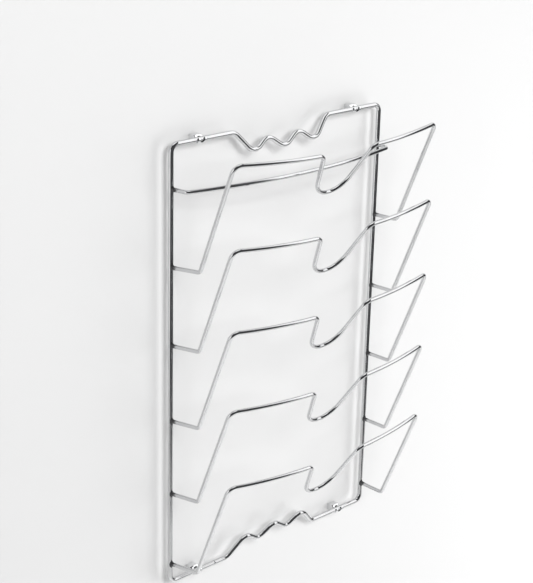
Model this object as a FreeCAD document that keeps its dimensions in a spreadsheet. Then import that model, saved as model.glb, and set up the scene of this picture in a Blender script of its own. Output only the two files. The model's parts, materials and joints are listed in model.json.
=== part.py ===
"""Wall rack for pan lids, bent and welded from round wire.

A tall rectangle of heavy wire hangs on the wall in four small clips. Five alike holders of thinner
wire stand out from its two uprights, one above the other, and slope outward. Each holder's front bar
bows away from the wall and dips in its middle, so that a lid's knob can hang in the dip. The clips
are hooks, open at the top, and each one is slotted in front for its screw.

Millimetres. The origin is the middle of the four clips' backs, on the wall. +Z is up, +X is to the
right for someone facing the rack, and -Y points away from the wall, at that person.
"""

import FreeCAD
import Part
import Sketcher

import enum
import math
import os

from FreeCAD import Vector

SIZES = {
    # the frame: a rectangle measured between the centre lines of its wire
    "frame_width": 300.0,
    "frame_height": 494.0,
    "frame_wire": 5.5,
    "frame_bend": 8.0,
    "wall_gap": 12.0,
    # the zigzag in the top bar, and mirrored in the bottom bar
    "zigzag_tips": 3,
    "zigzag_pitch": 44.0,
    "zigzag_drop": 25.2,
    "zigzag_notch": 9.3,
    "zigzag_lean": 16.0,
    "zigzag_bend": 12.0,
    # the lid holders: where the highest and the lowest one start, from the frame's top and bottom bars
    "holder_count": 5,
    "highest_holder": 128.2,
    "lowest_holder": 23.0,
    "holder_wire": 4.5,
    "holder_inset": 5.0,
    "stub_length": 40.0,
    "stub_rise": 4.0,
    "stub_bend": 6.0,
    "arm_length": 130.0,
    "arm_lean": 22.0,
    "arm_bend": 9.0,
    "bar_bow": 14.0,
    # the dip in each front bar
    "dip_mouth": 72.0,
    "dip_depth": 58.0,
    "dip_flare": 17.0,
    "dip_tilt": 8.0,
    "dip_shoulder_bend": 9.0,
    # the back bar under the frame's top bar
    "back_bar_wire": 4.5,
    "back_bar_drop": 45.5,
    "back_bar_inset": 5.0,
    "back_bar_stub": 20.0,
    "back_bar_bend": 5.0,
    "back_bar_bow": 17.0,
    # the wall clips
    "clip_inset": 38.0,
    "clip_width": 10.5,
    "clip_height": 7.8,
    "clip_clearance": 0.1,
    "clip_mouth": 4.4,
    "clip_floor": 5.0,
    "screw_hole": 3.2,
    "screw_head": 5.6,
}

# the bends at a straight run's two ends take at most this share of it
BENT_SHARE = 0.98
# a sweep's volume may differ from its section times its length by this share
VOLUME_TOLERANCE = 0.001

doc = FreeCAD.newDocument("pot_lid_rack")
sheet = doc.addObject("Spreadsheet::Sheet", "Sizes")
for row, (alias, value) in enumerate(SIZES.items(), start=1):
    sheet.set("A%d" % row, alias)
    sheet.set("B%d" % row, str(value))
    sheet.setAlias("B%d" % row, alias)
doc.recompute()


class At(enum.IntEnum):
    """A sketch's numbers for the places on a line or an arc."""

    START = 1
    END = 2
    MIDDLE = 3


class Axis(enum.IntEnum):
    """A sketch's numbers for its own two axes. It takes the origin for the level one's start."""

    LEVEL = -1
    UPRIGHT = -2


def size(alias):
    """Return one driving dimension from the sheet."""
    return float(sheet.get(alias))


def bent_wire_path(points, radii, closed=False):
    """Join points by straight runs, with a tangent arc at each bend.

    The radii belong to the inner points, or to every point of a closed path. Bends that want more
    than their run share it out. None stands for a long bow, which fills its runs between two bends.
    """
    count = len(points)
    indices = list(range(count)) if closed else list(range(1, count - 1))
    before = [points[index - 1] - points[index] for index in indices]
    after = [points[(index + 1) % count] - points[index] for index in indices]
    half_turns = [(math.pi - one.getAngle(other)) / 2 for one, other in zip(before, after)]
    wanted = [(radius or 0) * math.tan(half_turn) for radius, half_turn in zip(radii, half_turns)]
    previous = [wanted[-1] if closed else 0] + wanted[:-1]
    following = wanted[1:] + [wanted[0] if closed else 0]
    cuts = []
    for place, radius in enumerate(radii):
        run_before = BENT_SHARE * before[place].Length
        run_after = BENT_SHARE * after[place].Length
        if radius is None:
            cuts.append(min(run_before - previous[place], run_after - following[place]))
        else:
            taken_before = run_before / (wanted[place] + previous[place])
            taken_after = run_after / (wanted[place] + following[place])
            cuts.append(wanted[place] * min(1, taken_before, taken_after))

    arcs = []
    for index, half_turn, cut, one, other in zip(indices, half_turns, cuts, before, after):
        one.normalize()
        other.normalize()
        inward = (one + other).normalize()
        rise = cut / math.tan(half_turn) * (1 / math.cos(half_turn) - 1)
        corner = points[index]
        arcs.append((corner + one * cut, corner + inward * rise, corner + other * cut))
    edges = []
    run_start = arcs[-1][2] if closed else points[0]
    for arc_start, arc_middle, arc_end in arcs:
        edges.append(Part.LineSegment(run_start, arc_start).toShape())
        edges.append(Part.Arc(arc_start, arc_middle, arc_end).toShape())
        run_start = arc_end
    if not closed:
        edges.append(Part.LineSegment(run_start, points[-1]).toShape())
    return Part.Wire(edges)


def swept_wire(name, path, wire_alias):
    """Sweep a round section, as thick as the sheet's wire_alias, along a path."""
    spine = doc.addObject("Part::Feature", name + "_path")
    spine.Shape = path
    start = path.Edges[0]
    section = doc.addObject("Part::Circle", name + "_section")
    section.setExpression("Radius", "Sizes.%s / 2" % wire_alias)
    facing = FreeCAD.Rotation(Vector(0, 0, 1), start.tangentAt(start.FirstParameter))
    section.Placement = FreeCAD.Placement(start.valueAt(start.FirstParameter), facing)
    sweep = doc.addObject("Part::Sweep", name + "_sweep")
    sweep.Sections = [section]
    sweep.Spine = (spine, ["Edge%d" % (number + 1) for number in range(len(path.Edges))])
    sweep.Solid = True
    doc.recompute()
    expected = math.pi * (size(wire_alias) / 2) ** 2 * path.Length
    if abs(sweep.Shape.Volume - expected) > VOLUME_TOLERANCE * expected:
        raise RuntimeError("%s: volume %.1f, expected %.1f" % (name, sweep.Shape.Volume, expected))
    return sweep


def zigzag(bar_z, inward):
    """Return the zigzag's points from left to right. It leans out of the frame's plane as it runs inward."""
    half_pitch = size("zigzag_pitch") / 2
    notches = int(size("zigzag_tips")) * 2
    lean = math.radians(size("zigzag_lean"))
    points = []
    for step in range(notches + 1):
        if step in (0, notches):
            depth = 0
        elif step % 2:
            depth = size("zigzag_drop")
        else:
            depth = size("zigzag_notch")
        x = (step - notches / 2) * half_pitch
        y = -size("wall_gap") - depth * math.sin(lean)
        points.append(Vector(x, y, bar_z + inward * depth * math.cos(lean)))
    return points


def make_frame():
    """Make the frame, one closed loop of wire."""
    half_width = size("frame_width") / 2
    half_height = size("frame_height") / 2
    wire_y = -size("wall_gap")
    top = zigzag(half_height, -1)
    bottom = zigzag(-half_height, 1)
    points = [Vector(-half_width, wire_y, half_height)] + top
    points += [Vector(half_width, wire_y, half_height), Vector(half_width, wire_y, -half_height)]
    points += bottom[::-1] + [Vector(-half_width, wire_y, -half_height)]
    corner = [size("frame_bend")]
    teeth = [size("zigzag_bend")] * len(top)
    frame = swept_wire("frame", bent_wire_path(points, corner + teeth + corner * 2 + teeth + corner, True),
                       "frame_wire")
    frame.Label = "frame"
    return frame


def weld_to(frame, sweep, label):
    """Cut the ends of a wire to the frame's round, so that they seat on the uprights."""
    coped = doc.addObject("Part::Cut", label)
    coped.Base = sweep
    coped.Tool = frame
    coped.Label = label
    return coped


def holder_points(root_z):
    """Return the points and bend radii of one lid holder, whose two stubs start at root_z."""
    lean = math.radians(size("arm_lean"))
    along_arm = Vector(0, -math.sin(lean), math.cos(lean))
    outward = Vector(0, -math.cos(lean), -math.sin(lean))
    half_width = size("frame_width") / 2 - size("holder_inset")
    wire_y = -size("wall_gap")
    root = Vector(-size("frame_width") / 2, wire_y, root_z)
    heel = Vector(-half_width, wire_y - size("stub_length"), root_z + size("stub_rise"))
    top = heel + along_arm * size("arm_length")

    # the front bar follows a shallow parabola, drawn by the tangents at its end and at the dip
    end_slope = 2 * size("bar_bow") / half_width
    half_mouth = size("dip_mouth") / 2
    half_run = (half_width - half_mouth) / 2
    dip_out = size("bar_bow") * (1 - (half_mouth / half_width) ** 2)
    bow = top + Vector(half_run, 0, 0) + outward * (end_slope * half_run)
    shoulder = top + Vector(2 * half_run, 0, 0) + outward * dip_out

    # the dip's two sides would cross far below its round floor
    flare = math.radians(size("dip_flare"))
    tilt = math.radians(size("dip_tilt"))
    down_dip = along_arm * -math.cos(tilt) - outward * math.sin(tilt)
    crossing_depth = half_mouth / math.tan(flare)
    crossing = shoulder + Vector(half_mouth, 0, 0) + down_dip * crossing_depth
    floor_radius = (crossing_depth - size("dip_depth")) / (1 / math.sin(flare) - 1)

    left = [root, heel, top, bow, shoulder]
    right = [Vector(-point.x, point.y, point.z) for point in reversed(left)]
    bends = [size("stub_bend"), size("arm_bend"), None, size("dip_shoulder_bend")]
    return left + [crossing] + right, bends + [floor_radius] + bends[::-1]


def make_holders(frame):
    """Make the lid holders, evenly spaced and numbered from the top one down."""
    count = int(size("holder_count"))
    highest = size("frame_height") / 2 - size("highest_holder")
    lowest = size("lowest_holder") - size("frame_height") / 2
    pitch = (highest - lowest) / max(count - 1, 1)
    holders = []
    for number in range(1, count + 1):
        points, bends = holder_points(highest - (number - 1) * pitch)
        label = "lid_holder_%d" % number
        sweep = swept_wire(label, bent_wire_path(points, bends), "holder_wire")
        holders.append(weld_to(frame, sweep, label))
    return holders


def make_back_bar(frame):
    """Make the bar across the frame, below its top bar."""
    half_width = size("frame_width") / 2 - size("back_bar_inset")
    wire_y = -size("wall_gap")
    level = size("frame_height") / 2 - size("back_bar_drop")
    root = Vector(-size("frame_width") / 2, wire_y, level)
    heel = Vector(-half_width, wire_y - size("back_bar_stub"), level)
    # the tangents of a shallow bow cross at twice its height
    crossing = Vector(0, heel.y - 2 * size("back_bar_bow"), level)
    points = [root, heel, crossing, Vector(-heel.x, heel.y, level), Vector(-root.x, root.y, level)]
    bend = size("back_bar_bend")
    sweep = swept_wire("back_bar", bent_wire_path(points, [bend, None, bend]), "back_bar_wire")
    return weld_to(frame, sweep, "back_bar")


def origin_plane(body, role):
    """Return one of a body's own origin planes."""
    return [feature for feature in body.Origin.OriginFeatures if feature.Role == role][0]


def sketch_on(body, role, name):
    """Start a sketch on one of a body's own origin planes."""
    sketch = body.newObject("Sketcher::SketchObject", name)
    sketch.AttachmentSupport = [(origin_plane(body, role), "")]
    sketch.MapMode = "FlatFace"
    return sketch


def bind(sketch, name, expression, *constraint):
    """Add a dimension to a sketch and tie it to the sheet."""
    index = sketch.addConstraint(Sketcher.Constraint(*constraint))
    sketch.renameConstraint(index, name)
    sketch.setExpression("Constraints." + name, expression)


def square_outline(sketch, points):
    """Draw a closed outline whose sides are level and upright in turn, a level one first."""
    corners = [Vector(x, y, 0) for x, y in points]
    sides = sketch.addGeometry([
        Part.LineSegment(corner, corners[(index + 1) % len(corners)])
        for index, corner in enumerate(corners)
    ], False)
    for index, side in enumerate(sides):
        following = sides[(index + 1) % len(sides)]
        sketch.addConstraint(Sketcher.Constraint("Coincident", side, At.END, following, At.START))
        sketch.addConstraint(Sketcher.Constraint("Vertical" if index % 2 else "Horizontal", side))
    return sides


def clip_section(body, name):
    """Draw a clip from its side: a flat back on the wall and a hook, open at the top, for the frame's bar."""
    gap = size("wall_gap")
    half_height = size("clip_height") / 2
    bore = size("frame_wire") / 2 + size("clip_clearance")
    half_mouth = math.asin(size("clip_mouth") / 2 / bore)
    wall_lip = math.pi / 2 - half_mouth
    front_lip = math.pi / 2 + half_mouth
    centre = Vector(-gap, 0, 0)
    normal = Vector(0, 0, 1)

    def around(radius, angle):
        """Return a point on a circle about the bar, with its angle measured from the wall's side."""
        return centre + Vector(radius * math.cos(angle), radius * math.sin(angle), 0)

    def arc(radius, first, last):
        return Part.ArcOfCircle(Part.Circle(centre, normal, radius), first, last)

    funnel_top = centre + Vector(half_height / math.tan(wall_lip), half_height, 0)
    sketch = sketch_on(body, "YZ_Plane", name + "_section")
    back, top, funnel, channel, lip, jaw, bottom = sketch.addGeometry([
        Part.LineSegment(Vector(0, -half_height, 0), Vector(0, half_height, 0)),
        Part.LineSegment(Vector(0, half_height, 0), funnel_top),
        Part.LineSegment(funnel_top, around(bore, wall_lip)),
        arc(bore, front_lip, wall_lip + 2 * math.pi),
        Part.LineSegment(around(bore, front_lip), around(half_height, front_lip)),
        arc(half_height, front_lip, math.pi * 3 / 2),
        Part.LineSegment(around(half_height, math.pi * 3 / 2), Vector(0, -half_height, 0)),
    ], False)
    sketch.addConstraint([
        Sketcher.Constraint("Coincident", back, At.END, top, At.START),
        Sketcher.Constraint("Coincident", top, At.END, funnel, At.START),
        Sketcher.Constraint("Coincident", funnel, At.END, channel, At.END),
        Sketcher.Constraint("Coincident", channel, At.START, lip, At.START),
        Sketcher.Constraint("Coincident", lip, At.END, jaw, At.START),
        Sketcher.Constraint("Tangent", jaw, At.END, bottom, At.START),
        Sketcher.Constraint("Coincident", bottom, At.END, back, At.START),
        Sketcher.Constraint("Coincident", jaw, At.MIDDLE, channel, At.MIDDLE),
        Sketcher.Constraint("PointOnObject", channel, At.MIDDLE, Axis.LEVEL),
        Sketcher.Constraint("PointOnObject", channel, At.MIDDLE, lip),
        Sketcher.Constraint("PointOnObject", channel, At.MIDDLE, funnel),
        Sketcher.Constraint("PointOnObject", back, At.START, Axis.UPRIGHT),
        Sketcher.Constraint("Symmetric", back, At.START, back, At.END, Axis.LEVEL),
        Sketcher.Constraint("Horizontal", top),
        Sketcher.Constraint("Horizontal", bottom),
        Sketcher.Constraint("Horizontal", channel, At.START, channel, At.END),
    ])
    bind(sketch, "stand_off", "Sizes.wall_gap", "DistanceX", channel, At.MIDDLE, Axis.LEVEL, At.START, gap)
    bind(sketch, "height", "Sizes.clip_height", "DistanceY", back, At.START, back, At.END, 2 * half_height)
    bind(sketch, "bore", "Sizes.frame_wire / 2 + Sizes.clip_clearance", "Radius", channel, bore)
    bind(sketch, "mouth", "Sizes.clip_mouth", "DistanceX", channel, At.START, channel, At.END,
         size("clip_mouth"))
    return sketch


def screw_section(body, name):
    """Draw half of the screw's way: a hole through the back, then room for its head out to the front."""
    hole = size("screw_hole") / 2
    head = size("screw_head") / 2
    floor = size("clip_floor")
    reach = size("wall_gap") + size("clip_height")
    sketch = sketch_on(body, "XY_Plane", name + "_screw")
    wall_side, hole_side, step, head_side, front_side, axis_side = square_outline(
        sketch, [(0, 0), (hole, 0), (hole, -floor), (head, -floor), (head, -reach), (0, -reach)])
    sketch.addConstraint(Sketcher.Constraint("Coincident", wall_side, At.START, Axis.LEVEL, At.START))
    bind(sketch, "hole", "Sizes.screw_hole / 2", "DistanceX", wall_side, At.START, wall_side, At.END, hole)
    bind(sketch, "floor", "Sizes.clip_floor", "DistanceY", hole_side, At.END, hole_side, At.START, floor)
    bind(sketch, "head", "Sizes.screw_head / 2", "DistanceX", front_side, At.END, front_side, At.START, head)
    bind(sketch, "reach", "Sizes.wall_gap + Sizes.clip_height", "DistanceY", axis_side, At.START,
         axis_side, At.END, reach)
    return sketch


def slot_section(body, name):
    """Draw, from the front, the slot that opens the screw's way up through the hook's lip."""
    head = size("screw_head") / 2
    half_height = size("clip_height") / 2
    sketch = sketch_on(body, "XZ_Plane", name + "_slot")
    sketch.setExpression("AttachmentOffset.Base.z", "Sizes.wall_gap + Sizes.clip_height")
    floor, side, _, _ = square_outline(
        sketch, [(-head, 0), (head, 0), (head, half_height), (-head, half_height)])
    sketch.addConstraint(
        Sketcher.Constraint("Symmetric", floor, At.START, floor, At.END, Axis.LEVEL, At.START))
    bind(sketch, "width", "Sizes.screw_head", "DistanceX", floor, At.START, floor, At.END, 2 * head)
    bind(sketch, "height", "Sizes.clip_height / 2", "DistanceY", side, At.START, side, At.END, half_height)
    return sketch


def make_clip(name, side, level):
    """Make one wall clip. side is -1 for left and 1 for right, level is -1 for bottom and 1 for top."""
    body = doc.addObject("PartDesign::Body", name)
    body.Label = name
    hook = body.newObject("PartDesign::Pad", name + "_hook")
    hook.Profile = clip_section(body, name)
    hook.setExpression("Length", "Sizes.clip_width")
    hook.Midplane = True
    screw = body.newObject("PartDesign::Groove", name + "_screw_way")
    outline = screw_section(body, name)
    screw.Profile = outline
    screw.ReferenceAxis = (outline, ["V_Axis"])
    screw.Angle = 360
    slot = body.newObject("PartDesign::Pocket", name + "_slot_cut")
    slot.Profile = slot_section(body, name)
    slot.setExpression("Length", "Sizes.clip_height")
    body.Tip = slot
    body.setExpression("Placement.Base.x", "%d * (Sizes.frame_width / 2 - Sizes.clip_inset)" % side)
    body.setExpression("Placement.Base.z", "%d * Sizes.frame_height / 2" % level)
    return body


def make_clips():
    """Make the four wall clips, two on the top bar and two on the bottom bar."""
    clips = []
    for level_name, level in (("top", 1), ("bottom", -1)):
        for side_name, side in (("left", -1), ("right", 1)):
            clips.append(make_clip("wall_clip_%s_%s" % (level_name, side_name), side, level))
    return clips


def export(pieces):
    """Check every object and every piece, then write each piece to its own file."""
    doc.recompute()
    for item in doc.Objects:
        if "Invalid" in item.State or "Error" in item.State:
            raise RuntimeError("%s failed: %s" % (item.Name, item.State))
    os.makedirs("parts", exist_ok=True)
    for piece in pieces:
        shape = piece.Shape
        if shape.isNull() or not shape.isValid() or len(shape.Solids) != 1:
            raise RuntimeError("%s is not one valid solid" % piece.Label)
    for piece in pieces:
        piece.Shape.exportStep("parts/%s.step" % piece.Label)
        print("%-24s %9.1f mm3" % (piece.Label, piece.Shape.Volume))


def main():
    frame = make_frame()
    pieces = [frame, make_back_bar(frame)] + make_holders(frame) + make_clips()
    export(pieces)


main()
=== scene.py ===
"""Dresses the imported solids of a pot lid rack.

The rack is bent from round wire, welded and chromed, and hangs in four small chromed wall hooks.
The operators below make its wires, its welds, its clips and the stage in turn. Metres, in the
frame of the solids: the wall is the plane y = 0, -Y points away from it and +Z is up.
"""

import json
import math
import random

import bmesh
import bpy
from bpy.props import FloatProperty, FloatVectorProperty, IntProperty, PointerProperty
from mathutils import Matrix, Vector

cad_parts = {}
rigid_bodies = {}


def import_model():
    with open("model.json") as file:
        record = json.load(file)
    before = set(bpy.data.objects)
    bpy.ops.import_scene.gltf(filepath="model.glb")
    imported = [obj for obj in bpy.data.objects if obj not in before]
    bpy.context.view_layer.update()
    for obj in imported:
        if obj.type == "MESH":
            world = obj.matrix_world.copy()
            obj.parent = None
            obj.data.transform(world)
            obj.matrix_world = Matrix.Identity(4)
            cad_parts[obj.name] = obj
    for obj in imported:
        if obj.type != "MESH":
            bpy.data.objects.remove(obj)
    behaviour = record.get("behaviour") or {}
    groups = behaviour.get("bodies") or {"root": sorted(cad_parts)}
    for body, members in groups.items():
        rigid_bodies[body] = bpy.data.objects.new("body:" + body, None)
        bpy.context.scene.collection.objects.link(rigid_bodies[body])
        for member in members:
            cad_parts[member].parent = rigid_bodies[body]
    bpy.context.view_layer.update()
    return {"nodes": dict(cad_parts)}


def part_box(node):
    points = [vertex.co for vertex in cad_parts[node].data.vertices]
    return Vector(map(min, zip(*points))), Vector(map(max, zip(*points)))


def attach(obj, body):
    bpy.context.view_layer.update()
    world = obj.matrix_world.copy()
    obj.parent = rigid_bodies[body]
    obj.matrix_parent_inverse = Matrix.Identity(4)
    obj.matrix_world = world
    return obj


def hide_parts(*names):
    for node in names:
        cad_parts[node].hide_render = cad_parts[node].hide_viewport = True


bl_info = {
    "name": "Pot Lid Rack",
    "version": (1, 0, 0),
    "blender": (4, 5, 0),
    "location": "View3D > Sidebar > Lid Rack",
    "description": "Builds the bent wires, welds and wall clips of a rack, with their finishes",
    "category": "Object",
}

MM = 0.001

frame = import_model()
FRAME_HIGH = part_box("frame")[1]
CLIP_NODES = sorted(name for name in frame["nodes"] if name.startswith("wall_clip"))
HOLDER_NODES = sorted(name for name in frame["nodes"] if name.startswith("lid_holder"))


def length(name, description, default):
    """Return a property that holds a length in metres."""
    return FloatProperty(name=name, description=description, default=default,
                         subtype="DISTANCE", unit="LENGTH", precision=5)


def angle(name, description, degrees):
    """Return a property that holds an angle."""
    return FloatProperty(name=name, description=description, default=math.radians(degrees),
                         subtype="ANGLE", unit="ROTATION")


def share(name, description, default):
    """Return a property that holds a number from 0 to 1."""
    return FloatProperty(name=name, description=description, default=default, min=0, max=1,
                         subtype="FACTOR")


def colour(name, description, default):
    """Return a property that holds a colour."""
    return FloatVectorProperty(name=name, description=description, default=default,
                               min=0, max=1, size=3, subtype="COLOR")


def power(name, description, default):
    """Return a property that holds the power of a light."""
    return FloatProperty(name=name, description=description, default=default, min=0, unit="POWER")


class FrameSettings(bpy.types.PropertyGroup):
    """Sizes of the heavy wire that goes all the way round"""
    wire: length("Wire", "Thickness of the frame's wire", 5.5 * MM)
    bend: length("Corner Bend", "Radius of the frame's four corners", 8 * MM)
    tip_pitch: length("Tip Pitch", "Distance from one zigzag tip to the next", 44 * MM)
    tip_drop: length("Tip Drop", "How far the zigzag's tips reach into the frame", 25.2 * MM)
    notch_drop: length("Notch Drop", "How far in the notches between the tips lie", 9.3 * MM)
    tip_bend: length("Tip Bend", "Radius of the zigzag's bends", 12 * MM)
    tip_lean: angle("Tip Lean", "How far the zigzag leans away from the wall", 16)
    tips: IntProperty(name="Tips", description="Number of zigzag tips in each bar",
                      default=3, min=1)


class HolderSettings(bpy.types.PropertyGroup):
    """Sizes of the alike holders"""
    wire: length("Wire", "Thickness of the holders' wire", 4.5 * MM)
    highest: length("Highest Holder", "Drop from the top bar to the top holder's welds",
                    128.2 * MM)
    lowest: length("Lowest Holder", "Rise from the bottom bar to the lowest holder's welds",
                   23 * MM)
    inset: length("Inset", "How far the arms stand in from the uprights", 5 * MM)
    stub: length("Stub Length", "Reach of the stubs that carry the arms", 40 * MM)
    stub_rise: length("Stub Rise", "How far the stubs climb", 4 * MM)
    stub_bend: length("Stub Bend", "Radius of the bend from stub to arm", 6 * MM)
    arm: length("Arm Length", "Length of the sloping arms", 130 * MM)
    arm_lean: angle("Arm Lean", "How far the arms lean away from the wall", 22)
    arm_bend: length("Arm Bend", "Radius of the bend from arm to front bar", 9 * MM)
    bow: length("Bow", "How far the front bar bows away from the wall", 14 * MM)
    mouth: length("Dip Mouth", "Width of the dip in the front bar", 72 * MM)
    depth: length("Dip Depth", "Depth of the dip along the arms", 58 * MM)
    shoulder_bend: length("Shoulder Bend", "Radius of the bends into the dip", 9 * MM)
    flare: angle("Dip Flare", "How far the dip's sides open", 17)
    tilt: angle("Dip Tilt", "How far the dip swings towards the wall", 8)


class BackBarSettings(bpy.types.PropertyGroup):
    """Sizes of the bowed bar under the frame's top bar"""
    wire: length("Wire", "Thickness of the back bar's wire", 4.5 * MM)
    drop: length("Drop", "Distance below the top bar", 45.5 * MM)
    inset: length("Inset", "How far the bar's bends stand in from the uprights", 5 * MM)
    stub: length("Stub Length", "Reach of the bar's two short stubs", 20 * MM)
    bend: length("Bend", "Radius of the bends beside the stubs", 5 * MM)
    bow: length("Bow", "How far the bar bows away from the wall", 17 * MM)


class WeldSettings(bpy.types.PropertyGroup):
    """Sizes of the welds"""
    reach: length("Fillet Reach", "How far a weld spreads along both wires", 2.2 * MM)
    waviness: share("Waviness", "How uneven the edge of a weld is", 0.22)
    seam_height: length("Seam Height", "How proud the frame's own butt weld stands", 0.12 * MM)
    seam_width: length("Seam Width", "Width of the frame's own butt weld", 2.6 * MM)
    seam_place: length("Seam Place", "Place of the butt weld on the bottom bar, from its middle",
                       -86 * MM)
    # the painted shade round a weld fades out over this spread too
    spread: length("Dull and Shade Spread", "How far the dull zone round a weld reaches", 15 * MM)


class ClipSettings(bpy.types.PropertyGroup):
    """How the clips' edges are rounded"""
    edge: length("Edge Radius", "Radius of the clips' rounded edges", 0.35 * MM)
    crease: angle("Crease", "Smallest turn between two faces that is rounded", 25)


class ChromeSettings(bpy.types.PropertyGroup):
    """Colours and gloss of the plating"""
    tint: colour("Tint", "Colour of the chrome", (0.62, 0.625, 0.63))
    shade: colour("Haze Tint", "Colour of the chrome where it is hazy", (0.53, 0.535, 0.545))
    clip_tint: colour("Clip Tint", "Colour of the chrome on the cast clips", (0.8, 0.805, 0.81))
    polish: share("Polish Roughness", "Roughness of clean chrome", 0.045)
    haze: share("Haze Roughness", "Roughness of hazy chrome", 0.13)
    # painted shade: this near-black colour stands in for the shade and dark reflection in the
    # corner where a stub meets an upright; the butt weld takes half of it
    weld_shade_tint: colour("Weld Shade Tint", "Colour of the thin plating on a weld", (0.07, 0.07, 0.072))
    weld_dullness: share("Weld Roughness", "Roughness of the chrome on a weld", 0.3)


class StageSettings(bpy.types.PropertyGroup):
    """The room round the rack, its lights and the camera's turn"""
    wall: colour("Wall", "Colour of the wall behind the rack", (0.505, 0.505, 0.505))
    floor: colour("Floor", "Colour of the floor", (0.8, 0.8, 0.8))
    floor_drop: length("Floor Drop", "Distance from the rack's middle down to the floor", 1.6)
    floor_depth: length("Floor Depth", "How far the floor reaches into the room", 2.6)
    sky: FloatProperty(name="Sky", description="Strength of the light from all round",
                       default=1.6, min=0)
    dark: colour("Dark Side", "Colour of the unlit part of the room", (0.045, 0.045, 0.047))
    dark_left: angle("Dark Left", "How far left the unlit part of the room reaches", 64)
    dark_top: angle("Dark Top", "How high the unlit part of the room reaches", 64)
    window_near: angle("Window Start", "Where the bright window on the right starts", 33.5)
    window_far: angle("Window End", "Where the bright window on the right ends", 57)
    key: power("Key Light", "Power of the main soft light", 62)
    fill: power("Fill Light", "Power of the second soft light", 38)
    floor_light: power("Floor Light", "Power of the soft light on the floor", 4)
    azimuth: angle("Camera Azimuth", "Where the camera stands round the rack", -43.32)
    elevation: angle("Camera Elevation", "How far the camera looks down", 19.9)
    roll: angle("Camera Roll", "How far the camera is turned about its axis", -1.45)


class LidRackSettings(bpy.types.PropertyGroup):
    """All the settings of the rack"""
    frame: PointerProperty(type=FrameSettings)
    holder: PointerProperty(type=HolderSettings)
    back_bar: PointerProperty(type=BackBarSettings)
    weld: PointerProperty(type=WeldSettings)
    clip: PointerProperty(type=ClipSettings)
    chrome: PointerProperty(type=ChromeSettings)
    stage: PointerProperty(type=StageSettings)


# paths of the wires

BENT_SHARE = 0.98  # most of a run that its bends may take
RUN_STEP = 6 * MM  # distance from one plain point of a run to the next
SEAT_DEPTH = 0.05 * MM  # how far inside the upright's round a welded end lies


def settings():
    """Return the rack's settings."""
    return bpy.context.scene.lid_rack


def wire_plane():
    """Return the y of the frame's wire, which is the middle of its uprights."""
    return FRAME_HIGH.y - settings().frame.wire / 2


def half_width():
    """Return the x of the right upright's middle."""
    return FRAME_HIGH.x - settings().frame.wire / 2


def half_height():
    """Return the z of the top bar's middle."""
    return FRAME_HIGH.z - settings().frame.wire / 2


def mirrored(points):
    """Return the right half of a wire from the points of its left half."""
    return [Vector((-point.x, point.y, point.z)) for point in reversed(points)]


def turn_at(points, index):
    """Return the length of the run before and after a point, and half the turn between them."""
    before = points[index - 1] - points[index]
    after = points[(index + 1) % len(points)] - points[index]
    return before.length, after.length, (math.pi - before.angle(after)) / 2


def bend_radii(points, wanted, closed):
    """Fit the bends to their runs. Neighbours that want too much share a run, and None fills it."""
    count = len(points)
    inner = range(count) if closed else range(1, count - 1)
    turns = [turn_at(points, index) for index in inner]
    cuts = [(radius or 0) * math.tan(turn[2]) for radius, turn in zip(wanted, turns)]
    radii = []
    for place, (before, after, half_turn) in enumerate(turns):
        last = cuts[place - 1] if closed or place else 0
        following = cuts[(place + 1) % len(cuts)] if closed or place + 1 < len(cuts) else 0
        if wanted[place] is None:
            cut = min(BENT_SHARE * before - last, BENT_SHARE * after - following)
        elif cuts[place]:
            cut = cuts[place] * min(1, BENT_SHARE * before / (cuts[place] + last),
                                    BENT_SHARE * after / (cuts[place] + following))
        else:
            cut = 0
        radii.append(cut / math.tan(half_turn) if cut else 0)
    return radii if closed else [0] + radii + [0]


def stepped(points, radii, closed):
    """Add plain points along the straight runs, so that a wire has rings for its welds to shade."""
    cuts = [radius * math.tan(turn_at(points, index)[2]) if radius else 0
            for index, radius in enumerate(radii)]
    chain = []
    for index, point in enumerate(points):
        chain.append((point, radii[index]))
        following = (index + 1) % len(points)
        if following == 0 and not closed:
            break
        run = points[following] - point
        straight = run.length - cuts[index] - cuts[following]
        steps = int(straight / RUN_STEP)
        for step in range(1, steps):
            along = cuts[index] + straight * step / steps
            chain.append((point + run.normalized() * along, 0))
    return [point for point, _ in chain], [radius for _, radius in chain]


def zigzag(sizes, bar_z, inward):
    """Return a bar's zigzag from left to right. inward is -1 for the top bar, else 1."""
    last = sizes.tips * 2
    points = []
    for step in range(last + 1):
        depth = sizes.tip_drop if step % 2 else sizes.notch_drop
        if step in (0, last):
            depth = 0
        x = (step - last / 2) * sizes.tip_pitch / 2
        y = wire_plane() - depth * math.sin(sizes.tip_lean)
        points.append(Vector((x, y, bar_z + inward * depth * math.cos(sizes.tip_lean))))
    return points


def frame_path():
    """Return the frame's points and bends, from its butt weld round and back to it."""
    sizes = settings().frame
    seam = settings().weld
    x, y, z = half_width(), wire_plane(), half_height()
    start = Vector((seam.seam_place, y, -z))
    gap = Vector((seam.seam_width / 4, 0, 0))
    top = zigzag(sizes, z, -1)
    bottom = zigzag(sizes, -z, 1)
    points = [start - gap, Vector((-x, y, -z)), Vector((-x, y, z)), *top,
              Vector((x, y, z)), Vector((x, y, -z)), *bottom[::-1], start + gap]
    corners = [sizes.bend] * 2
    teeth = [sizes.tip_bend] * len(top)
    bends = [0, *corners, *teeth, *corners, *teeth, 0]
    return points, bend_radii(points, bends, True)


def holder_roots():
    """Return the height of each holder's welds, from the top one down."""
    sizes = settings().holder
    highest = half_height() - sizes.highest
    lowest = sizes.lowest - half_height()
    count = len(HOLDER_NODES)
    return [highest - (highest - lowest) * number / max(count - 1, 1) for number in range(count)]


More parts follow.
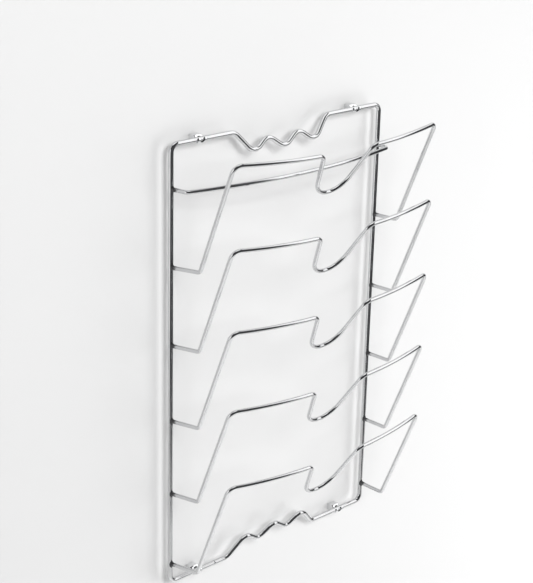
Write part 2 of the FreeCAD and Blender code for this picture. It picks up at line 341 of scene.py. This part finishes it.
def holder_path(root_z):
    """Return a holder's points and bends from its left weld to its right one."""
    sizes = settings().holder
    along_arm = Vector((0, -math.sin(sizes.arm_lean), math.cos(sizes.arm_lean)))
    outward = Vector((0, -math.cos(sizes.arm_lean), -math.sin(sizes.arm_lean)))
    reach = half_width() - sizes.inset
    root = Vector((-half_width(), wire_plane(), root_z))
    heel = Vector((-reach, wire_plane() - sizes.stub, root_z + sizes.stub_rise))
    top = heel + along_arm * sizes.arm

    # the front bar is a shallow parabola, drawn by its tangents at the arm and at the dip
    half_mouth = sizes.mouth / 2
    half_run = (reach - half_mouth) / 2
    bow = top + Vector((half_run, 0, 0)) + outward * (2 * sizes.bow / reach * half_run)
    dip_out = sizes.bow * (1 - (half_mouth / reach) ** 2)
    shoulder = top + Vector((2 * half_run, 0, 0)) + outward * dip_out

    # the dip's sides would cross below it, and its floor is as round as its depth allows
    crossing_depth = half_mouth / math.tan(sizes.flare)
    down_dip = along_arm * -math.cos(sizes.tilt) - outward * math.sin(sizes.tilt)
    crossing = shoulder + Vector((half_mouth, 0, 0)) + down_dip * crossing_depth
    floor = (crossing_depth - sizes.depth) / (1 / math.sin(sizes.flare) - 1)

    left = [root, heel, top, bow, shoulder]
    points = left + [crossing] + mirrored(left)
    bends = [sizes.stub_bend, sizes.arm_bend, None, sizes.shoulder_bend]
    return points, bend_radii(points, bends + [floor] + bends[::-1], False)


def back_bar_path():
    """Return the back bar's points and bends from its left weld to its right one."""
    sizes = settings().back_bar
    level = half_height() - sizes.drop
    reach = half_width() - sizes.inset
    root = Vector((-half_width(), wire_plane(), level))
    heel = Vector((-reach, wire_plane() - sizes.stub, level))
    crossing = Vector((0, heel.y - 2 * sizes.bow, level))
    points = [root, heel, crossing] + mirrored([root, heel])
    return points, bend_radii(points, [sizes.bend, None, sizes.bend], False)


def seated(points, thickness):
    """Start and end a wire just inside the round of the uprights that it is welded to."""
    upright = settings().frame.wire / 2
    inside = math.sqrt(upright ** 2 - (thickness / 2) ** 2) - SEAT_DEPTH
    start = points[0] + (points[1] - points[0]).normalized() * inside
    end = points[-1] + (points[-2] - points[-1]).normalized() * inside
    return [start] + points[1:-1] + [end]


def weld_places():
    """Return each welded stub as where its wire starts, which way it leaves and how thick it is."""
    paths = [(holder_path(root_z)[0], settings().holder.wire) for root_z in holder_roots()]
    paths.append((back_bar_path()[0], settings().back_bar.wire))
    places = []
    for points, thickness in paths:
        places.append((points[0], (points[1] - points[0]).normalized(), thickness))
        places.append((points[-1], (points[-2] - points[-1]).normalized(), thickness))
    return places


def weld_nearness(points):
    """Return 1 for a point on a weld, fading to 0 where its dull zone and its painted shade end."""
    spread = settings().weld.spread
    spots = [root + way * settings().frame.wire / 2 for root, way, _ in weld_places()]
    return [max(0, 1 - min((point - spot).length for spot in spots) / spread) for point in points]


# node trees

NEAR_WELD = "weld_near"  # how near a point is to a weld, from 0 to 1, which sets its dullness and its painted shade
STRAIGHTENED = "straightened"  # where a point is on the wire laid out straight
MIX_FACTOR, MIX_FIRST, MIX_SECOND, MIX_RESULT = 0, 6, 7, 2  # colour sockets of a Mix node


def add_node(tree, kind, values=(), **options):
    """Add a node. values are its sockets by name or number, each linked or set."""
    node = tree.nodes.new(kind)
    for option, value in options.items():
        setattr(node, option, value)
    for socket, value in dict(values).items():
        if isinstance(value, bpy.types.NodeSocket):
            tree.links.new(value, node.inputs[socket])
        else:
            node.inputs[socket].default_value = value
    return node


def new_group(name, kind, inputs, outputs):
    """Start a node group. Return it with its input sockets."""
    tree = bpy.data.node_groups.new(name, kind)
    for label, holds, value in inputs:
        socket = tree.interface.new_socket(label, in_out="INPUT", socket_type="NodeSocket" + holds)
        if value is not None:
            socket.default_value = value
    for label, holds in outputs:
        tree.interface.new_socket(label, in_out="OUTPUT", socket_type="NodeSocket" + holds)
    return tree, add_node(tree, "NodeGroupInput").outputs


def group(name, build):
    """Return a shared node group, built the first time it is asked for."""
    return bpy.data.node_groups.get(name) or build(name)


def maths(tree, operation, *values):
    """Return the result of a sum on numbers and sockets."""
    return add_node(tree, "ShaderNodeMath", dict(enumerate(values)), operation=operation).outputs[0]


def product(tree, first, *others):
    """Return sockets multiplied together."""
    for other in others:
        first = maths(tree, "MULTIPLY", first, other)
    return first


def store(tree, geometry, name, value, data_type="FLOAT"):
    """Store a value on the points of a geometry under a name."""
    values = {"Geometry": geometry, "Name": name, "Value": value}
    node = add_node(tree, "GeometryNodeStoreNamedAttribute", values,
                    data_type=data_type, domain="POINT")
    return node.outputs["Geometry"]


def named(tree, name, data_type="FLOAT"):
    """Read a named value of the geometry."""
    node = add_node(tree, "GeometryNodeInputNamedAttribute", {"Name": name}, data_type=data_type)
    return node.outputs["Attribute"]


def bent_wire_group(name):
    """Build the tree that rounds a chain of points and sweeps a wire along it.

    It also stores where each point lies on the wire laid out straight, for the finish to follow.
    """
    tree, given = new_group(
        name, "GeometryNodeTree",
        [("Chain", "Geometry", None), ("Thickness", "Float", None), ("Sides", "Int", None),
         ("Steps per Bend", "Int", None), ("Finish", "Material", None)],
        [("Wire", "Geometry")])
    tree.interface.items_tree["Thickness"].subtype = "DISTANCE"

    line = add_node(tree, "GeometryNodeMeshToCurve", {"Mesh": given["Chain"]})
    rounded = add_node(tree, "GeometryNodeFilletCurve", {
        "Curve": line.outputs["Curve"],
        "Count": given["Steps per Bend"],
        "Radius": named(tree, "bend"),
        "Limit Radius": False,
    }, mode="POLY")
    place = add_node(tree, "GeometryNodeSplineParameter")
    path = store(tree, rounded.outputs["Curve"], "along", place.outputs["Length"])

    radius = maths(tree, "MULTIPLY", given["Thickness"], 0.5)
    circle = add_node(tree, "GeometryNodeCurvePrimitiveCircle",
                      {"Resolution": given["Sides"], "Radius": radius})
    position = add_node(tree, "GeometryNodeInputPosition")
    section = store(tree, circle.outputs["Curve"], "around", position.outputs[0], "FLOAT_VECTOR")

    swept = add_node(tree, "GeometryNodeCurveToMesh",
                     {"Curve": path, "Profile Curve": section, "Fill Caps": True})
    around = add_node(tree, "ShaderNodeSeparateXYZ", {0: named(tree, "around", "FLOAT_VECTOR")})
    unrolled = add_node(tree, "ShaderNodeCombineXYZ",
                        {0: around.outputs[0], 1: around.outputs[1], 2: named(tree, "along")})
    laid_out = store(tree, swept.outputs["Mesh"], STRAIGHTENED, unrolled.outputs[0],
                     "FLOAT_VECTOR")
    smooth = add_node(tree, "GeometryNodeSetShadeSmooth", {"Geometry": laid_out})
    solid = add_node(tree, "GeometryNodeRealizeInstances", {"Geometry": smooth.outputs["Geometry"]})
    finished = add_node(tree, "GeometryNodeSetMaterial",
                        {"Geometry": solid.outputs["Geometry"], "Material": given["Finish"]})
    add_node(tree, "NodeGroupOutput", {"Wire": finished.outputs["Geometry"]})
    return tree


def noise(tree, place, scale, detail=2.0, roughness=0.5):
    """Return a noise's value at a place."""
    values = {"Vector": place, "Scale": scale, "Detail": detail, "Roughness": roughness}
    return add_node(tree, "ShaderNodeTexNoise", values).outputs["Fac"]


def ramped(tree, value, low, high):
    """Return a value stretched smoothly from low and high to 0 and 1."""
    node = add_node(tree, "ShaderNodeMapRange",
                    {"Value": value, "From Min": low, "From Max": high},
                    interpolation_type="SMOOTHSTEP")
    return node.outputs["Result"]


def between(tree, factor, low, high):
    """Return a number that runs from low to high as factor runs from 0 to 1."""
    node = add_node(tree, "ShaderNodeMapRange", {"Value": factor, "To Min": low, "To Max": high})
    return node.outputs["Result"]


def blend(tree, factor, first, second):
    """Mix two colours, each a socket or a plain colour."""
    first, second = (value if isinstance(value, bpy.types.NodeSocket) else (*value, 1)
                     for value in (first, second))
    node = add_node(tree, "ShaderNodeMix",
                    {MIX_FACTOR: factor, MIX_FIRST: first, MIX_SECOND: second}, data_type="RGBA")
    return node.outputs[MIX_RESULT]


# finishes: the scales of their patterns, and the spans of a noise over which a pattern fades in

LINE_SPAN = (0.42, 0.72)
LINE_HEIGHT = 0.35
RIPPLE_SCALE = 55.0
PATCH_SPAN = (0.45, 0.75)
SPECK_SCALE = 900.0
SPECK_SPAN = (0.66, 0.74)
SPECK_SHARE = 0.6
BREAKUP_SCALE = 420.0
BREAKUP_SHARE = 0.5
# this span also fades in the painted shade of a weld
DULL_AND_SHADE_SPAN = (0.45, 0.75)
HAZE_AMOUNT = 0.7
LINE_HAZE = 0.35
LINE_BUMP = {"Strength": 0.1, "Distance": 0.25 * MM}
WELD_BUMP = {"Strength": 0.5, "Distance": 0.3 * MM}
PAINT_ROUGHNESS = 0.9
PAINT_GLOSS = 0.2


def drawn_lines_group(name):
    """Fine lines along a wire, left by the die it was drawn through and softened by the plating."""
    tree, given = new_group(
        name, "ShaderNodeTree",
        [("Straightened", "Vector", None), ("Density", "Float", 900.0), ("Stretch", "Float", 0.02)],
        [("Height", "Float"), ("Lines", "Float")])
    squeeze = add_node(tree, "ShaderNodeCombineXYZ", {0: 1.0, 1: 1.0, 2: given["Stretch"]})
    place = add_node(tree, "ShaderNodeVectorMath",
                     {0: given["Straightened"], 1: squeeze.outputs[0]}, operation="MULTIPLY")
    lines = noise(tree, place.outputs[0], given["Density"], detail=3.0, roughness=0.6)
    ripple = noise(tree, given["Straightened"], RIPPLE_SCALE, detail=1.0)
    height = maths(tree, "MULTIPLY_ADD", lines, LINE_HEIGHT, ripple)
    add_node(tree, "NodeGroupOutput", {"Height": height, "Lines": ramped(tree, lines, *LINE_SPAN)})
    return tree


def haze_group(name):
    """Soft patches where a surface is a little duller, from handling and cleaning."""
    tree, given = new_group(
        name, "ShaderNodeTree",
        [("Place", "Vector", None), ("Scale", "Float", 38.0), ("Amount", "Float", 0.5)],
        [("Haze", "Float")])
    cloudy = noise(tree, given["Place"], given["Scale"], detail=3.0, roughness=0.55)
    grainy = noise(tree, given["Place"], SPECK_SCALE, detail=1.0)
    patches = ramped(tree, cloudy, *PATCH_SPAN)
    specks = product(tree, ramped(tree, grainy, *SPECK_SPAN), SPECK_SHARE)
    haze = product(tree, maths(tree, "MAXIMUM", patches, specks), given["Amount"])
    add_node(tree, "NodeGroupOutput", {"Haze": haze})
    return tree


def weld_group(name):
    """The grainy, duller skin of a weld's plating, and the mask of the painted shade on and round a
    weld.
    """
    tree, given = new_group(
        name, "ShaderNodeTree",
        [("Place", "Vector", None), ("Nearness", "Float", 0.0), ("Grain", "Float", 1400.0)],
        [("Dullness and Shade", "Float"), ("Height", "Float")])
    breakup = maths(tree, "SUBTRACT", noise(tree, given["Place"], BREAKUP_SCALE), 0.5)
    edge = maths(tree, "ADD", given["Nearness"], product(tree, breakup, BREAKUP_SHARE))
    dull_and_shaded = ramped(tree, edge, *DULL_AND_SHADE_SPAN)
    grain = noise(tree, given["Place"], given["Grain"], detail=3.0, roughness=0.6)
    add_node(tree, "NodeGroupOutput",
             {"Dullness and Shade": dull_and_shaded, "Height": product(tree, grain, dull_and_shaded)})
    return tree


def effect(tree, name, build, values):
    """Place a shared effect in a material with its own values."""
    return add_node(tree, "ShaderNodeGroup", values, node_tree=group(name, build)).outputs


def new_material(name):
    """Start a material. Return it with its tree and its shader."""
    material = bpy.data.materials.new(name)
    material.use_nodes = True
    tree = material.node_tree
    return material, tree, tree.nodes["Principled BSDF"]


def chrome_material(name, tint, shade):
    """Bright decorative chrome, a little darker where it is hazy, and dark on and near welds with
    painted shade.
    """
    look = settings().chrome
    material, tree, shader = new_material(name)
    place = add_node(tree, "ShaderNodeTexCoord").outputs["Object"]
    straight = add_node(tree, "ShaderNodeAttribute", attribute_name=STRAIGHTENED).outputs["Vector"]
    near = add_node(tree, "ShaderNodeAttribute", attribute_name=NEAR_WELD).outputs["Fac"]
    lines = effect(tree, "drawn lines", drawn_lines_group, {"Straightened": straight})
    haze = effect(tree, "handling haze", haze_group,
                  {"Place": place, "Amount": HAZE_AMOUNT})["Haze"]
    weld = effect(tree, "weld dullness and shade", weld_group, {"Place": place, "Nearness": near})

    plating = blend(tree, haze, tint, shade)
    # painted shade: the base colour goes towards the near-black weld tint on the welds and on the
    # stubs near them
    tint_with_weld_shade = blend(tree, weld["Dullness and Shade"], plating, look.weld_shade_tint)
    tree.links.new(tint_with_weld_shade, shader.inputs["Base Color"])
    streaks = maths(tree, "MAXIMUM", haze, product(tree, lines["Lines"], LINE_HAZE))
    clean = between(tree, streaks, look.polish, look.haze)
    dull = product(tree, weld["Dullness and Shade"], look.weld_dullness)
    tree.links.new(maths(tree, "MAXIMUM", clean, dull), shader.inputs["Roughness"])
    shader.inputs["Metallic"].default_value = 1
    fine = add_node(tree, "ShaderNodeBump", {"Height": lines["Height"], **LINE_BUMP})
    grainy = add_node(tree, "ShaderNodeBump", {
        "Height": weld["Height"],
        "Normal": fine.outputs["Normal"],
        **WELD_BUMP,
    })
    tree.links.new(grainy.outputs["Normal"], shader.inputs["Normal"])
    return material


def wire_chrome():
    """Return the finish of the wires, built the first time it is asked for."""
    name, look = "bright_chrome", settings().chrome
    return bpy.data.materials.get(name) or chrome_material(name, look.tint, look.shade)


def clip_chrome():
    """Return the brighter finish of the cast clips, built the first time it is asked for."""
    name, look = "cast_chrome", settings().chrome
    return bpy.data.materials.get(name) or chrome_material(name, look.clip_tint, look.tint)


def paint_material(name, tint):
    """Matt paint on a sheet that can be seen through from behind."""
    material, tree, shader = new_material(name)
    shader.inputs["Base Color"].default_value = (*tint, 1)
    shader.inputs["Roughness"].default_value = PAINT_ROUGHNESS
    shader.inputs["Specular IOR Level"].default_value = PAINT_GLOSS
    back = add_node(tree, "ShaderNodeNewGeometry").outputs["Backfacing"]
    clear = add_node(tree, "ShaderNodeBsdfTransparent")
    mix = add_node(tree, "ShaderNodeMixShader",
                   {0: back, 1: shader.outputs[0], 2: clear.outputs[0]})
    tree.links.new(mix.outputs[0], tree.nodes["Material Output"].inputs["Surface"])
    return material


# pieces

BOX_SLACK = 0.5 * MM  # most that a piece may differ from its solid's box
HEAVY_DETAIL = {"Sides": 36, "Steps per Bend": 12}
THIN_DETAIL = {"Sides": 32, "Steps per Bend": 14}

WELD_SEED = 7
WELD_AROUND = 40  # faces round a weld
FILLET_ACROSS, SEAM_ACROSS = 7, 9  # points across a fillet and across the butt weld
FILLET_WAVES, SEAM_WAVES = range(2, 6), range(1, 4)  # waves to a turn that make each uneven
FILLET_SINK = 0.02 * MM
SEAM_SINK = 0.01 * MM
SEAM_UNEVEN = 0.3
SEAM_STRAY = 0.1 * MM
SEAM_NEARNESS = 0.5

MERGE_DISTANCE = 0.001 * MM
FLAT_ANGLE = math.radians(1)
SHARP_ANGLE = math.radians(32)
EDGE_FACES = 3  # faces across a rounded edge


def link(name, mesh):
    """Put a mesh, a lamp or a lens into the scene as an object at the origin."""
    piece = bpy.data.objects.new(name, mesh)
    bpy.context.scene.collection.objects.link(piece)
    return piece


def plain_mesh(carrier, name):
    """Turn what an object's modifiers make into a plain object, and drop the object itself."""
    graph = bpy.context.evaluated_depsgraph_get()
    mesh = bpy.data.meshes.new_from_object(
        carrier.evaluated_get(graph), preserve_all_data_layers=True, depsgraph=graph)
    bpy.data.objects.remove(carrier)
    mesh.name = name
    return link(name, mesh)


def worked_mesh(work, name, finish):
    """Turn worked faces into a smooth mesh with one finish."""
    mesh = bpy.data.meshes.new(name)
    work.to_mesh(mesh)
    work.free()
    mesh.shade_smooth()
    mesh.materials.append(finish)
    return mesh


def store_on_points(mesh, name, values):
    """Store a number on each point of a mesh under a name."""
    mesh.attributes.new(name, "FLOAT", "POINT").data.foreach_set("value", values)


def take_place(piece, node):
    """Let a piece stand for a solid, after checking that it fills the same box."""
    low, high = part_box(node)
    for axis, places in enumerate(zip(*(vertex.co for vertex in piece.data.vertices))):
        off = max(abs(min(places) - low[axis]), abs(max(places) - high[axis]))
        if off > BOX_SLACK:
            raise RuntimeError("%s leaves the box of %s along %s" % (piece.name, node, "XYZ"[axis]))
    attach(piece, "root")
    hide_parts(node)


def bend_wire(node, path, thickness, closed, detail):
    """Bend the wire that stands for a solid, from its points and bends."""
    name = node + "_wire"
    points, radii = path
    if not closed:
        points = seated(points, thickness)
    points, radii = stepped(points, radii, closed)
    edges = [(index, index + 1) for index in range(len(points) - 1)]
    if closed:
        edges.append((len(points) - 1, 0))
    mesh = bpy.data.meshes.new(name + "_chain")
    mesh.from_pydata(points, edges, [])
    store_on_points(mesh, "bend", radii)
    if not closed:
        store_on_points(mesh, NEAR_WELD, weld_nearness(points))
    carrier = link(name + "_chain", mesh)
    modifier = carrier.modifiers.new("bent wire", "NODES")
    modifier.node_group = group("bent wire", bent_wire_group)
    sockets = modifier.node_group.interface.items_tree
    for label, value in {"Thickness": thickness, "Finish": wire_chrome(), **detail}.items():
        modifier[sockets[label].identifier] = value
    piece = plain_mesh(carrier, name)
    take_place(piece, node)


class LIDRACK_OT_frame(bpy.types.Operator):
    """Bend the frame from one heavy wire, a tall rectangle with a zigzag in its top and bottom"""
    bl_idname = "lid_rack.frame"
    bl_label = "Frame"

    def execute(self, context):
        bend_wire("frame", frame_path(), settings().frame.wire, True, HEAVY_DETAIL)
        return {"FINISHED"}


class LIDRACK_OT_back_bar(bpy.types.Operator):
    """Bend the bowed bar that crosses the frame under its top bar"""
    bl_idname = "lid_rack.back_bar"
    bl_label = "Back Bar"

    def execute(self, context):
        bend_wire("back_bar", back_bar_path(), settings().back_bar.wire, False, THIN_DETAIL)
        return {"FINISHED"}


class LIDRACK_OT_holders(bpy.types.Operator):
    """Bend the holders, alike but for their height"""
    bl_idname = "lid_rack.holders"
    bl_label = "Lid Holders"

    def execute(self, context):
        for node, root_z in zip(HOLDER_NODES, holder_roots()):
            bend_wire(node, holder_path(root_z), settings().holder.wire, False, THIN_DETAIL)
        return {"FINISHED"}


def weld_turns():
    """Return the turns at which a weld has points."""
    return [2 * math.pi * step / WELD_AROUND for step in range(WELD_AROUND)]


def unevenness(dice, waves):
    """Return a function that gives how a weld strays at a turn, from -1 to 1."""
    phases = [dice.uniform(0, 2 * math.pi) for _ in waves]
    return lambda turn: sum(math.sin(wave * turn + phase)
                            for wave, phase in zip(waves, phases)) / len(waves)


def skin(mesh, rings):
    """Add faces between strips of points that go once round."""
    strips = [[mesh.verts.new(point) for point in ring] for ring in rings]
    for one, other in zip(strips, strips[1:] + strips[:1]):
        for place in range(len(one) - 1):
            mesh.faces.new((one[place], other[place], other[place + 1], one[place + 1]))


def hollow(start, corner, end, count):
    """Return points of the hollow curve from start to end whose tangents meet in corner."""
    points = []
    for place in range(count):
        run = place / (count - 1)
        points.append(start * (1 - run) ** 2 + corner * (2 * run * (1 - run)) + end * run ** 2)
    return points


def weld_fillet(mesh, root, way, thickness, dice):
    """Add one weld to a mesh: a hollow fillet from a stub's round onto the upright's."""
    weld = settings().weld
    upright = settings().frame.wire / 2
    stub = thickness / 2
    side = way.cross(Vector((0, 0, 1))).normalized()
    rise = side.cross(way)
    uneven = unevenness(dice, FILLET_WAVES)
    rings = []
    for turn in weld_turns():
        outward = side * math.cos(turn) + rise * math.sin(turn)
        reach = weld.reach * (1 + weld.waviness * uneven(turn))
        line = root + outward * stub

        # where the stub's side meets the upright's round
        flat_way = Vector((way.x, way.y, 0))
        flat_line = Vector((line.x - root.x, line.y - root.y, 0))
        half_b = flat_line.dot(flat_way)
        squared = flat_way.length_squared
        outside = flat_line.length_squared - upright ** 2
        run = (-half_b + math.sqrt(half_b ** 2 - squared * outside)) / squared
        meet = line + way * run

        # the other end of the fillet lies round the upright, away from the stub
        normal = Vector((meet.x - root.x, meet.y - root.y, 0)).normalized()
        tangent = (outward - normal * outward.dot(normal)).normalized()
        round_turn = tangent.x * -normal.y + tangent.y * normal.x
        swing = Matrix.Rotation(round_turn * reach / upright, 3, "Z")
        foot = root + swing @ (normal * (upright - FILLET_SINK))
        on_upright = Vector((foot.x, foot.y, meet.z + tangent.z * reach))
        rings.append(hollow(meet + way * reach, meet, on_upright, FILLET_ACROSS))
    skin(mesh, rings)


def seam_ring(mesh, dice):
    """Add the low, uneven ring left where the frame's wire is butt-welded to itself."""
    weld = settings().weld
    radius = settings().frame.wire / 2
    middle = Vector((weld.seam_place, wire_plane(), -half_height()))
    uneven = unevenness(dice, SEAM_WAVES)
    rings = []
    for turn in weld_turns():
        outward = Vector((0, math.cos(turn), math.sin(turn)))
        height = weld.seam_height * (1 + SEAM_UNEVEN * uneven(turn))
        ring = []
        for place in range(SEAM_ACROSS):
            run = place / (SEAM_ACROSS - 1) * 2 - 1
            lift = height * (1 - run ** 2) ** 2 - SEAM_SINK
            along = Vector((run * weld.seam_width / 2 + SEAM_STRAY * uneven(turn), 0, 0))
            ring.append(middle + along + outward * (radius + lift))
        rings.append(ring)
    skin(mesh, rings)


class LIDRACK_OT_welds(bpy.types.Operator):
    """Add the fillets that weld the thinner wires to the uprights, and the frame's butt weld"""
    bl_idname = "lid_rack.welds"
    bl_label = "Welds"

    def execute(self, context):
        dice = random.Random(WELD_SEED)
        work = bmesh.new()
        for root, way, thickness in weld_places():
            weld_fillet(work, root, way, thickness, dice)
        in_fillets = len(work.verts)
        seam_ring(work, dice)
        in_seam = len(work.verts) - in_fillets
        bmesh.ops.recalc_face_normals(work, faces=work.faces)
        mesh = worked_mesh(work, "weld_fillets", wire_chrome())
        # the fillets take the whole painted shade of a weld, the butt weld half of it
        store_on_points(mesh, NEAR_WELD, [1.0] * in_fillets + [SEAM_NEARNESS] * in_seam)
        piece = link("weld_fillets", mesh)
        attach(piece, "root")
        return {"FINISHED"}


class LIDRACK_OT_clips(bpy.types.Operator):
    """Round the edges of the four wall clips and chrome them"""
    bl_idname = "lid_rack.clips"
    bl_label = "Wall Clips"

    def execute(self, context):
        sizes = settings().clip
        for node in CLIP_NODES:
            work = bmesh.new()
            work.from_mesh(frame["nodes"][node].data)
            bmesh.ops.remove_doubles(work, verts=work.verts, dist=MERGE_DISTANCE)
            bmesh.ops.dissolve_limit(work, angle_limit=FLAT_ANGLE, verts=work.verts,
                                     edges=work.edges)
            rims = [edge for edge in work.edges if edge.calc_face_angle(0) > sizes.crease]
            bmesh.ops.bevel(work, geom=rims, offset=sizes.edge, segments=EDGE_FACES,
                            profile=0.5, affect="EDGES", clamp_overlap=True)
            mesh = worked_mesh(work, node + "_casting", clip_chrome())
            mesh.set_sharp_from_angle(angle=SHARP_ANGLE)
            piece = link(node + "_casting", mesh)
            take_place(piece, node)
        return {"FINISHED"}


# stage

SHEET_REACH = 3  # how far the wall and the floor go to the left and to the right
WALL_Y = 0.4 * MM
WALL_TOP = 2.5
FLOOR_BACK = 1.5

# each soft light's angle to the right of the rack and above it, its distance and its size
KEY_HANGS = (math.radians(-15), math.radians(29), 2.5, 1.05)
FILL_HANGS = (math.radians(50), math.radians(-12), 1.8, 1.6)
FLOOR_SPOT = (-1.2, -0.9)
FLOOR_LIGHT_RISE = 1.1
FLOOR_LIGHT_SIZE = 1.4

# how softly the room's parts end, as sines of the angles that they are seen at
DARK_EDGE = 0.05
WINDOW_EDGES = (0.04, 0.02)
WINDOW_FOOT = (-0.25, -0.05)

CAMERA_PLACE = (-1.07403, -1.13482, 0.62061)
CAMERA_LENS = 93.13
CAMERA_SENSOR = 36


def flat_sheet(name, one_edge, other_edge, material):
    """Make a flat piece of the stage between two level edges, each given by its y and z."""
    corners = [(-SHEET_REACH, *one_edge), (SHEET_REACH, *one_edge),
               (SHEET_REACH, *other_edge), (-SHEET_REACH, *other_edge)]
    mesh = bpy.data.meshes.new(name)
    mesh.from_pydata(corners, [], [(0, 1, 2, 3)])
    mesh.materials.append(material)
    link(name, mesh)


def hung_at(azimuth, elevation, distance):
    """Return the place that is seen from the rack at these angles, this far away."""
    level = math.cos(elevation)
    way = Vector((math.sin(azimuth) * level, -math.cos(azimuth) * level, math.sin(elevation)))
    return way * distance


def soft_light(name, place, target, size, watts):
    """Hang a square soft light that faces a target. The chrome doesn't mirror it."""
    lamp = bpy.data.lights.new(name, "AREA")
    lamp.size = size
    lamp.energy = watts
    light = link(name, lamp)
    light.location = place
    light.rotation_euler = (target - place).to_track_quat("-Z", "Y").to_euler()
    light.visible_glossy = False


def room_light(stage):
    """Light the scene from all round, but for the unlit part of the room that the rack faces."""
    world = bpy.data.worlds.new("room")
    world.use_nodes = True
    tree = world.node_tree
    ground = tree.nodes["Background"]
    way = add_node(tree, "ShaderNodeTexCoord").outputs["Generated"]
    side, _, height = add_node(tree, "ShaderNodeSeparateXYZ", {0: way}).outputs
    near, far = math.sin(stage.window_near), math.sin(stage.window_far)
    near_soft, far_soft = WINDOW_EDGES
    window = product(tree,
                     ramped(tree, side, near - near_soft, near + near_soft),
                     ramped(tree, side, far + far_soft, far - far_soft),
                     ramped(tree, height, *WINDOW_FOOT))
    left, top = math.sin(stage.dark_left), math.sin(stage.dark_top)
    seen = add_node(tree, "ShaderNodeLightPath").outputs["Is Camera Ray"]
    unlit = product(tree,
                    ramped(tree, side, -left - DARK_EDGE, -left + DARK_EDGE),
                    ramped(tree, height, top + DARK_EDGE, top - DARK_EDGE),
                    maths(tree, "SUBTRACT", 1.0, window),
                    maths(tree, "SUBTRACT", 1.0, seen))
    tree.links.new(blend(tree, unlit, (1.0, 1.0, 1.0), stage.dark), ground.inputs["Color"])
    ground.inputs["Strength"].default_value = stage.sky
    bpy.context.scene.world = world


def add_camera(stage):
    """Stand the camera where the photograph was taken from."""
    turn, lift, roll = stage.azimuth, stage.elevation, stage.roll
    level = math.cos(lift)
    ahead = Vector((-math.sin(turn) * level, math.cos(turn) * level, -math.sin(lift)))
    right = Vector((math.cos(turn), math.sin(turn), 0))
    down = ahead.cross(right)
    image_right = right * math.cos(roll) + down * math.sin(roll)
    image_up = image_right.cross(ahead)
    facing = Matrix((image_right, image_up, -ahead)).transposed()
    lens = bpy.data.cameras.new("camera")
    lens.sensor_fit = "VERTICAL"
    lens.sensor_height = CAMERA_SENSOR
    lens.lens = CAMERA_LENS
    camera = link("camera", lens)
    camera.matrix_world = Matrix.Translation(CAMERA_PLACE) @ facing.to_4x4()
    bpy.context.scene.camera = camera


class LIDRACK_OT_stage(bpy.types.Operator):
    """Add the pale wall, the floor, the soft light and the camera"""
    bl_idname = "lid_rack.stage"
    bl_label = "Stage"

    def execute(self, context):
        for stray in [thing for thing in bpy.data.objects
                      if thing.name in ("Cube", "Light", "Camera")]:
            bpy.data.objects.remove(stray)
        stage = settings().stage
        ground = -stage.floor_drop
        flat_sheet("wall", (WALL_Y, ground), (WALL_Y, WALL_TOP),
                   paint_material("wall_paint", stage.wall))
        flat_sheet("floor", (-stage.floor_depth, ground), (FLOOR_BACK, ground),
                   paint_material("floor_paint", stage.floor))
        rack = Vector((0, 0, 0))
        for name, (*hangs, size), watts in (("key_light", KEY_HANGS, stage.key),
                                            ("fill_light", FILL_HANGS, stage.fill)):
            soft_light(name, hung_at(*hangs), rack, size, watts)
        soft_light("floor_light", Vector((*FLOOR_SPOT, ground + FLOOR_LIGHT_RISE)),
                   Vector((*FLOOR_SPOT, ground)), FLOOR_LIGHT_SIZE, stage.floor_light)
        room_light(stage)
        bpy.context.scene.view_settings.view_transform = "Standard"
        add_camera(stage)
        return {"FINISHED"}


class LIDRACK_PT_panel(bpy.types.Panel):
    """List the steps that build the rack, and its sizes"""
    bl_label = "Lid Rack"
    bl_idname = "LIDRACK_PT_panel"
    bl_space_type = "VIEW_3D"
    bl_region_type = "UI"
    bl_category = "Lid Rack"

    def draw(self, context):
        for operator in OPERATORS:
            self.layout.operator(operator.bl_idname)
        for part in ("frame", "holder", "back_bar", "weld", "clip", "chrome", "stage"):
            values = getattr(context.scene.lid_rack, part)
            box = self.layout.box()
            box.label(text=part.replace("_", " ").title())
            for name in values.bl_rna.properties.keys():
                if name not in ("name", "rna_type"):
                    box.prop(values, name)


OPERATORS = (LIDRACK_OT_frame, LIDRACK_OT_back_bar, LIDRACK_OT_holders, LIDRACK_OT_welds,
             LIDRACK_OT_clips, LIDRACK_OT_stage)
CLASSES = (FrameSettings, HolderSettings, BackBarSettings, WeldSettings, ClipSettings,
           ChromeSettings, StageSettings, LidRackSettings, *OPERATORS, LIDRACK_PT_panel)


def register():
    """Add the classes and the rack's settings to Blender."""
    for item in CLASSES:
        bpy.utils.register_class(item)
    bpy.types.Scene.lid_rack = PointerProperty(type=LidRackSettings)


def unregister():
    """Take the rack's settings and the classes out again."""
    del bpy.types.Scene.lid_rack
    for item in reversed(CLASSES):
        bpy.utils.unregister_class(item)


def main():
    """Build the rack and its stage."""
    register()
    bpy.ops.lid_rack.frame()
    bpy.ops.lid_rack.back_bar()
    bpy.ops.lid_rack.holders()
    bpy.ops.lid_rack.welds()
    bpy.ops.lid_rack.clips()
    bpy.ops.lid_rack.stage()


if __name__ == "__main__":
    main()
